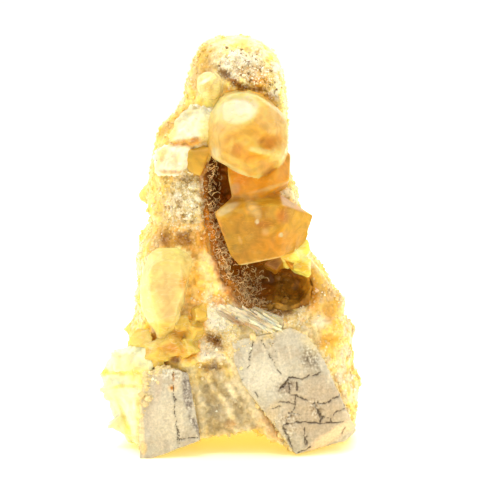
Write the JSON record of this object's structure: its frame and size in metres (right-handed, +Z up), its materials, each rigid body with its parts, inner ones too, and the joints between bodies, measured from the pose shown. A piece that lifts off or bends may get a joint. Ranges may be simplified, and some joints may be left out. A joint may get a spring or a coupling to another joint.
{
  "type": "calcite specimen",
  "caption": "Upright specimen of honey and pale yellow calcite crystals on a lumpy calcite tower with a brown hollow, its foot cementing two grey limestone fragments.",
  "frame": {"origin": "middle of the bounding box at its foot, on the surface the specimen stands on", "axes": "+Z up along the tower, +X to the viewer's right, +Y from the crystal-covered front to the back"},
  "size_m": [0.059, 0.0406, 0.091],
  "materials": {
    "honey_calcite": "translucent, smooth",
    "pale_calcite": "translucent, waxy",
    "yellow_calcite": "translucent",
    "white_calcite": "milky",
    "clear_calcite": "clear, smooth",
    "sparry_calcite": "rough, sparkling",
    "brown_crust": "rough, finely crystalline",
    "limestone": "matt, broken"
  },
  "bodies": {
    "root": {"calcite_matrix": "sparry_calcite", "hollow_crust": "brown_crust", "limestone_left": "limestone", "limestone_right": "limestone", "honey_crystal_upper": "honey_calcite", "honey_crystals_lower": "honey_calcite", "pale_crystal": "pale_calcite", "yellow_crystals_left": "yellow_calcite", "yellow_crystals_right": "yellow_calcite", "amber_crystals": "honey_calcite", "wedge_crystal": "honey_calcite", "roof_crystals": "honey_calcite", "round_crystal": "pale_calcite", "shoulder_crystal_upper": "white_calcite", "shoulder_crystal_lower": "white_calcite", "bladed_crystals": "clear_calcite"}
  },
  "joints": []
}
